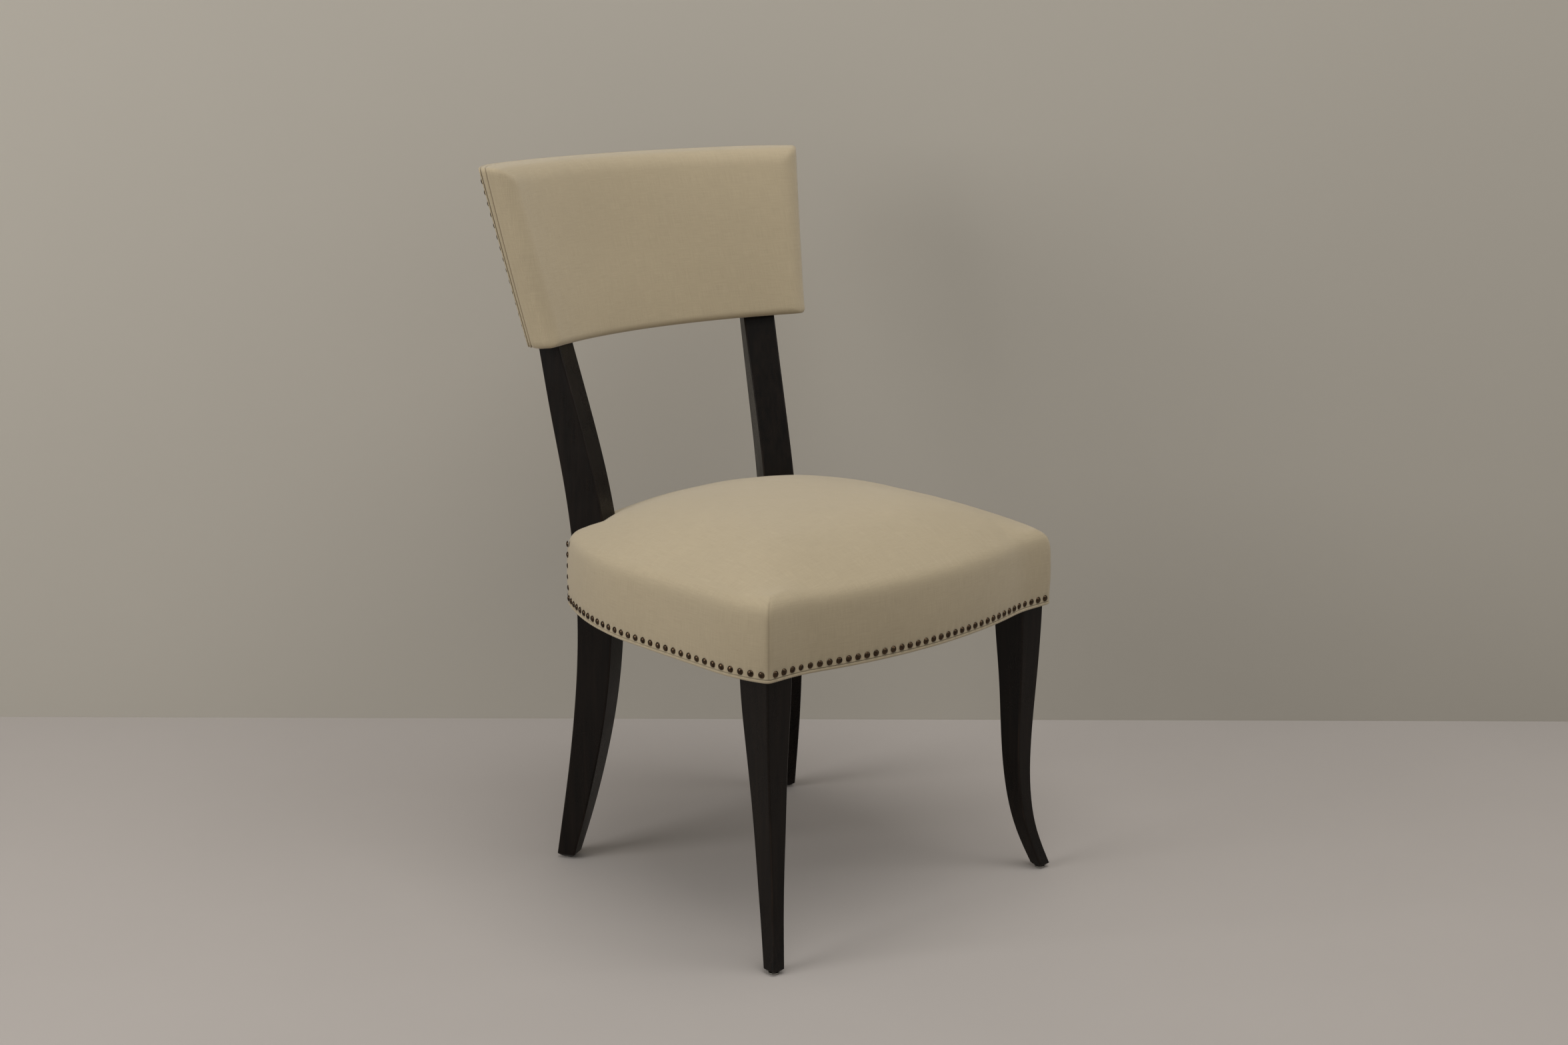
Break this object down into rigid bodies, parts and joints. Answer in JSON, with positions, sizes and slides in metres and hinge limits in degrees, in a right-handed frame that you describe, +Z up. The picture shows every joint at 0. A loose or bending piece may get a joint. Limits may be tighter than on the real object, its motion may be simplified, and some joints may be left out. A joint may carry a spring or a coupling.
{
  "type": "klismos dining chair",
  "caption": "Klismos dining chair with curved sabre legs, a domed upholstered seat with nailhead trim and a curved padded backrest.",
  "frame": {"origin": "on the floor, under the middle of the chair's bounding box", "axes": "+Z up, the sitter faces -Y, and -X is the chair's left as seen from the front"},
  "size_m": [0.5216, 0.6306, 0.9],
  "materials": {
    "lacquered_wood": "espresso brown satin lacquer",
    "frame_wood": "planed, not finished",
    "dowel_wood": "turned, not finished",
    "plywood": "sanded, not finished",
    "cover_cloth": "plain woven, matt",
    "foam": "open cell",
    "webbing": "jute, woven",
    "deck_cloth": "plain woven, coarse",
    "dust_cloth": "thin, matt",
    "back_board": "fibre board",
    "nail_bronze": "dark antique bronze",
    "screw_steel": "zinc plated",
    "glide_steel": "nickel plated"
  },
  "bodies": {
    "root": {"front_leg_left": "lacquered_wood", "front_leg_right": "lacquered_wood", "rear_leg_left": "lacquered_wood", "rear_leg_right": "lacquered_wood", "glide_front_left": "glide_steel", "glide_front_right": "glide_steel", "glide_rear_left": "glide_steel", "glide_rear_right": "glide_steel", "front_rail": "frame_wood", "rear_rail": "frame_wood", "side_rail_left": "frame_wood", "side_rail_right": "frame_wood", "front_rail_dowels": "dowel_wood", "side_rail_front_dowels": "dowel_wood", "side_rail_rear_dowels": "dowel_wood", "rear_rail_dowels": "dowel_wood", "corner_block_front_left": "frame_wood", "corner_block_front_right": "frame_wood", "corner_block_rear_left": "frame_wood", "corner_block_rear_right": "frame_wood", "corner_block_screws": "screw_steel", "webbing_lengthwise": "webbing", "webbing_crosswise": "webbing", "seat_deck": "deck_cloth", "seat_foam": "foam", "seat_cover": "cover_cloth", "seat_welt": "cover_cloth", "dust_cover": "dust_cloth", "seat_nails_front": "nail_bronze", "seat_nails_left": "nail_bronze", "seat_nails_right": "nail_bronze", "seat_nails_rear": "nail_bronze", "back_crest_rail": "frame_wood", "back_lower_rail": "frame_wood", "back_end_upright_left": "frame_wood", "back_end_upright_right": "frame_wood", "back_panel": "plywood", "back_panel_screws": "screw_steel", "crest_rail_dowels": "dowel_wood", "back_foam": "foam", "back_front_cover": "cover_cloth", "back_rear_board": "back_board", "outside_back_cover": "cover_cloth", "outside_back_nails": "nail_bronze"}
  },
  "joints": []
}
